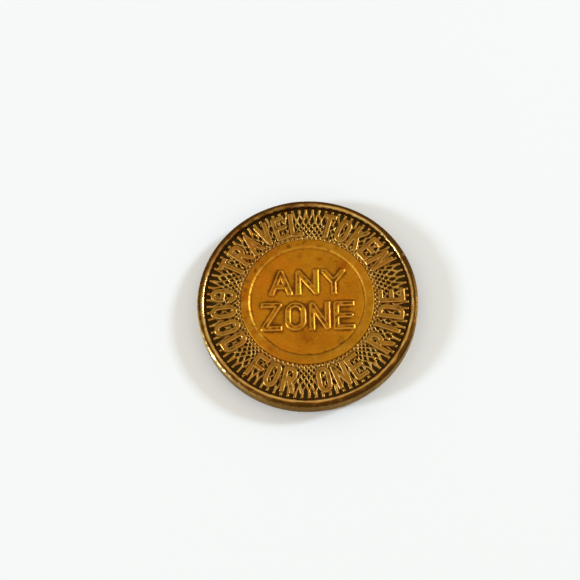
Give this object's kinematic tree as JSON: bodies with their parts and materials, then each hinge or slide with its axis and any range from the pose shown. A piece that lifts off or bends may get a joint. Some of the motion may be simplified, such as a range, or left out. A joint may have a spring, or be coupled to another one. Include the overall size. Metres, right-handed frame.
{
  "type": "transit token",
  "caption": "Small round struck brass fare token with a raised rim, a border of crossing ridges under curved lettering, and a plain raised middle.",
  "frame": {"origin": "centre of the circle that the back rim rests on, on the lowest plane", "axes": "+Z out of the front face, +Y towards the top of the lettering, +X to the right of it"},
  "size_m": [0.0164, 0.0164, 0.0016],
  "materials": {
    "brass_edge": "dark handled brass, satin",
    "brass_rim": "rubbed bright on the crest, brown on the shoulder",
    "brass_border": "dark patina in the pits, rubbed ridges and letters",
    "brass_ring": "golden brown, satin, mottled",
    "brass_field": "golden brown, satin, stained"
  },
  "bodies": {
    "root": {"flan_core": "brass_edge", "front_rim": "brass_rim", "front_border": "brass_border", "front_inner_ring": "brass_ring", "front_field": "brass_field", "back_rim": "brass_rim", "back_border": "brass_border", "back_inner_ring": "brass_ring", "back_field": "brass_field"}
  },
  "joints": []
}
